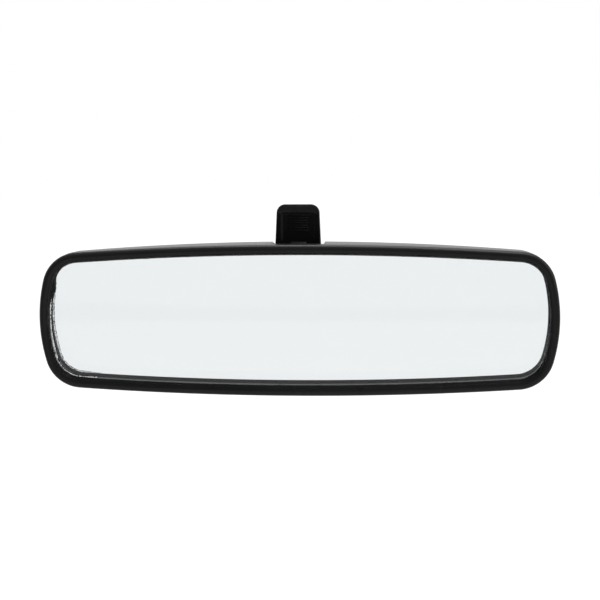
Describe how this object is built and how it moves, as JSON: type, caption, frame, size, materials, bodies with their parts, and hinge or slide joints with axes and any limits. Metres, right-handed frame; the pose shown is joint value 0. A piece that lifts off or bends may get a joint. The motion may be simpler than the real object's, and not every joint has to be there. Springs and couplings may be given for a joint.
{
  "type": "interior rearview mirror",
  "caption": "Interior rearview mirror: prismatic glass in a bezelled case, with a ribbed day and night lever, on a double-ball arm with a windscreen foot.",
  "frame": {"origin": "middle of the windscreen button's bonded face", "axes": "+X along the mirror, -Y towards the driver, +Z the side that the dip lever stands on; in the car the part is turned half a turn about Y"},
  "size_m": [0.25, 0.1172, 0.1066],
  "materials": {
    "bezel_plastic": "fine-grained black moulding, satin",
    "case_plastic": "black moulding with a leather-like grain",
    "lever_plastic": "soft black moulding",
    "mirror_glass": "clear prismatic glass",
    "silver": "second-surface silver",
    "film": "anti-shatter film",
    "seal_rubber": "soft black bead",
    "foam": "closed-cell foam",
    "stop_rubber": "moulded rubber",
    "bracket_steel": "zinc-plated pressing",
    "bright_steel": "turned, bright",
    "spring_steel": "oil-tempered",
    "bush_plastic": "natural acetal",
    "liner_nylon": "natural nylon",
    "seat_plastic": "natural nylon",
    "arm_paint": "satin black powder coat",
    "foot_paint": "satin black die casting",
    "button_metal": "sintered steel, dull grey",
    "screw_steel": "black oxide"
  },
  "bodies": {
    "foot": {"windscreen_button": "button_metal", "mount_foot": "foot_paint", "foot_ball_stud": "bright_steel", "set_screw": "screw_steel"},
    "foot_liner": {"foot_ball_liner": "liner_nylon"},
    "arm": {"arm_tube": "arm_paint", "foot_ball_seat": "seat_plastic", "arm_spring": "spring_steel", "thrust_washer": "bright_steel"},
    "head_socket": {"head_ball_cup": "arm_paint"},
    "head_liner": {"head_ball_liner": "liner_nylon"},
    "bracket": {"pivot_bracket": "bracket_steel", "head_ball_stud": "bright_steel", "stud_nut": "bright_steel", "stud_washer": "bright_steel", "hinge_pin": "bright_steel", "pin_clips": "spring_steel", "lever_pin": "bright_steel", "detent_spring": "spring_steel", "bump_stops": "stop_rubber"},
    "case": {"rear_case": "case_plastic", "front_bezel": "bezel_plastic", "mirror_glass": "mirror_glass", "silver_layer": "silver", "backing_film": "film", "foam_blocks": "foam", "edge_seal": "seal_rubber", "hinge_bushes": "bush_plastic"},
    "lever": {"dip_lever": "lever_plastic", "drive_pin": "bright_steel"}
  },
  "joints": [
    {"name": "arm_swing", "type": "hinge", "parent": "foot", "child": "foot_liner", "pos_m": [0, -0.01478, 0.01762], "axis": [0, 0.5, 0.866], "range_deg": [-15, 15]},
    {"name": "arm_lift", "type": "hinge", "parent": "foot_liner", "child": "arm", "pos_m": [0, -0.01478, 0.01762], "axis": [1, 0, 0], "range_deg": [-12, 12]},
    {"name": "head_twist", "type": "hinge", "parent": "arm", "child": "head_socket", "pos_m": [0, -0.05808, 0.04262], "axis": [0, -0.866, 0.5], "range_deg": [-30, 30]},
    {"name": "head_yaw", "type": "hinge", "parent": "head_socket", "child": "head_liner", "pos_m": [0, -0.05808, 0.04262], "axis": [0, 0, 1], "range_deg": [-20, 20]},
    {"name": "head_pitch", "type": "hinge", "parent": "head_liner", "child": "bracket", "pos_m": [0, -0.05808, 0.04262], "axis": [1, 0, 0], "range_deg": [-15, 15]},
    {"name": "dip_tilt", "type": "hinge", "parent": "bracket", "child": "case", "pos_m": [0, -0.08868, 0.02047], "axis": [1, 0, 0], "range_deg": [0, 4.5]},
    {"name": "lever_flip", "type": "hinge", "parent": "bracket", "child": "lever", "pos_m": [0, -0.08868, 0.06777], "axis": [1, 0, 0], "range_deg": [0, 40]}
  ],
  "couplings": [
    {"joint": "lever_flip", "follows": "dip_tilt", "ratio": 8.8889}
  ]
}
